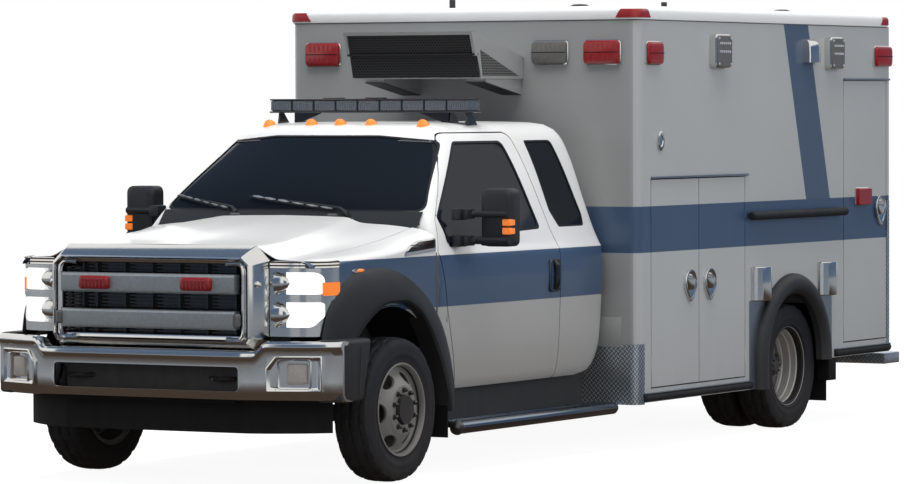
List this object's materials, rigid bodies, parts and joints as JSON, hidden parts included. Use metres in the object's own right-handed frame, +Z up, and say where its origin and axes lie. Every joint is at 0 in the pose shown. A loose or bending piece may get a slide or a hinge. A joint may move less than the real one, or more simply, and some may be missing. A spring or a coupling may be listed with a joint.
{
  "type": "ambulance",
  "caption": "Box-bodied ambulance on a twin-rear-wheel truck chassis with an extended cab, opening doors, hood and side lockers, and steered, turning wheels.",
  "frame": {"origin": "on the floor, below the middle of the bounding box", "axes": "+Z up, the front faces -Y, +X is the vehicle's left, which is the driver's side"},
  "size_m": [2.624, 7.5708, 2.778],
  "materials": {
    "tyre_rubber": "matt",
    "wheel_steel": "satin grey",
    "chassis_steel": "satin black",
    "engine_iron": "rough",
    "tank_steel": "satin black",
    "module_paint": "satin light grey",
    "cab_paint": "gloss white",
    "dark_glass": "dark tint",
    "red_lens": "clear lens",
    "clear_lens": "ribbed clear lens",
    "amber_lens": "clear lens",
    "black_rubber": "matt",
    "tread_plate": "raised tread",
    "cabinet_board": "matt laminate",
    "bench_vinyl": "satin vinyl",
    "seat_cloth": "woven",
    "dash_plastic": "grained",
    "black_plastic": "grained",
    "bright_chrome": "polished"
  },
  "bodies": {
    "chassis": {"air_dam": "black_plastic", "bench_pads": "bench_vinyl", "bumper": "bright_chrome", "bumper_irons": "chassis_steel", "cab_glass": "dark_glass", "cab_shell": "cab_paint", "condenser": "module_paint", "dashboard": "dash_plastic", "exhaust": "chassis_steel", "fenders": "cab_paint", "frame": "chassis_steel", "front_axle": "chassis_steel", "fuel_tank": "tank_steel", "grille": "bright_chrome", "grille_core": "black_plastic", "headlamps": "clear_lens", "lightbar": "clear_lens", "marker_lamps": "amber_lens", "module_interior": "cabinet_board", "module_shell": "module_paint", "mud_flaps": "black_rubber", "powertrain": "engine_iron", "rear_axle": "chassis_steel", "rear_step": "tread_plate", "roof_cap": "module_paint", "rub_rails": "black_rubber", "running_boards": "black_plastic", "scene_lamps": "clear_lens", "seats": "seat_cloth", "side_fittings": "bright_chrome", "stone_guards": "tread_plate", "warning_lamps": "red_lens", "wheel_flares": "black_plastic"},
    "knuckle_left": {"knuckle_left": "chassis_steel"},
    "knuckle_right": {"knuckle_right": "chassis_steel"},
    "front_wheel_left": {"front_tyre_left": "tyre_rubber", "front_rim_left": "wheel_steel"},
    "front_wheel_right": {"front_tyre_right": "tyre_rubber", "front_rim_right": "wheel_steel"},
    "rear_wheel_left": {"rear_tyres_left": "tyre_rubber", "rear_rims_left": "wheel_steel"},
    "rear_wheel_right": {"rear_tyres_right": "tyre_rubber", "rear_rims_right": "wheel_steel"},
    "hood": {"hood": "cab_paint"},
    "cab_door_left": {"cab_door_left": "cab_paint", "door_glass_left": "dark_glass", "mirror_left": "black_plastic"},
    "cab_door_right": {"cab_door_right": "cab_paint", "door_glass_right": "dark_glass", "mirror_right": "black_plastic"},
    "locker_door_front": {"locker_door_front": "module_paint"},
    "locker_door_rear": {"locker_door_rear": "module_paint"},
    "tall_door_left": {"tall_door_left": "module_paint"},
    "tall_door_right": {"tall_door_right": "module_paint"},
    "entry_door": {"entry_door": "module_paint", "entry_glass": "dark_glass"},
    "rear_door_left": {"rear_door_left": "module_paint", "rear_glass_left": "dark_glass"},
    "rear_door_right": {"rear_door_right": "module_paint", "rear_glass_right": "dark_glass"}
  },
  "joints": [
    {"name": "steer_left", "type": "hinge", "parent": "chassis", "child": "knuckle_left", "pos_m": [0.85, -2.7955, 0.405], "axis": [0, 0, 1], "range_deg": [-35, 35]},
    {"name": "steer_right", "type": "hinge", "parent": "chassis", "child": "knuckle_right", "pos_m": [-0.85, -2.7955, 0.405], "axis": [0, 0, 1], "range_deg": [-35, 35]},
    {"name": "spin_front_left", "type": "hinge", "parent": "knuckle_left", "child": "front_wheel_left", "pos_m": [0.965, -2.7955, 0.405], "axis": [1, 0, 0], "continuous": true},
    {"name": "spin_front_right", "type": "hinge", "parent": "knuckle_right", "child": "front_wheel_right", "pos_m": [-0.965, -2.7955, 0.405], "axis": [1, 0, 0], "continuous": true},
    {"name": "spin_rear_left", "type": "hinge", "parent": "chassis", "child": "rear_wheel_left", "pos_m": [0.935, 2.0615, 0.405], "axis": [1, 0, 0], "continuous": true},
    {"name": "spin_rear_right", "type": "hinge", "parent": "chassis", "child": "rear_wheel_right", "pos_m": [-0.935, 2.0615, 0.405], "axis": [1, 0, 0], "continuous": true},
    {"name": "hood_hinge", "type": "hinge", "parent": "chassis", "child": "hood", "pos_m": [0, -2.2955, 1.472], "axis": [-1, 0, 0], "range_deg": [0, 65]},
    {"name": "cab_door_left_hinge", "type": "hinge", "parent": "chassis", "child": "cab_door_left", "pos_m": [1.008, -2.1735, 0.925], "axis": [0, 0, -1], "range_deg": [0, 70]},
    {"name": "cab_door_right_hinge", "type": "hinge", "parent": "chassis", "child": "cab_door_right", "pos_m": [-1.008, -2.1735, 0.925], "axis": [0, 0, 1], "range_deg": [0, 70]},
    {"name": "locker_door_front_hinge", "type": "hinge", "parent": "chassis", "child": "locker_door_front", "pos_m": [1.222, -0.0165, 1.011], "axis": [0, 0, -1], "range_deg": [0, 100]},
    {"name": "locker_door_rear_hinge", "type": "hinge", "parent": "chassis", "child": "locker_door_rear", "pos_m": [1.222, 1.2975, 1.011], "axis": [0, 0, 1], "range_deg": [0, 100]},
    {"name": "tall_door_left_hinge", "type": "hinge", "parent": "chassis", "child": "tall_door_left", "pos_m": [1.222, 2.7975, 1.39], "axis": [0, 0, -1], "range_deg": [0, 100]},
    {"name": "tall_door_right_hinge", "type": "hinge", "parent": "chassis", "child": "tall_door_right", "pos_m": [-1.222, 2.7975, 1.39], "axis": [0, 0, 1], "range_deg": [0, 100]},
    {"name": "entry_door_hinge", "type": "hinge", "parent": "chassis", "child": "entry_door", "pos_m": [-1.222, -0.0165, 1.351], "axis": [0, 0, 1], "range_deg": [0, 100]},
    {"name": "rear_door_left_hinge", "type": "hinge", "parent": "chassis", "child": "rear_door_left", "pos_m": [0.616, 3.5335, 1.56], "axis": [0, 0, -1], "range_deg": [0, 110]},
    {"name": "rear_door_right_hinge", "type": "hinge", "parent": "chassis", "child": "rear_door_right", "pos_m": [-0.616, 3.5335, 1.56], "axis": [0, 0, 1], "range_deg": [0, 110]}
  ],
  "couplings": [
    {"joint": "steer_right", "follows": "steer_left", "ratio": 1}
  ]
}
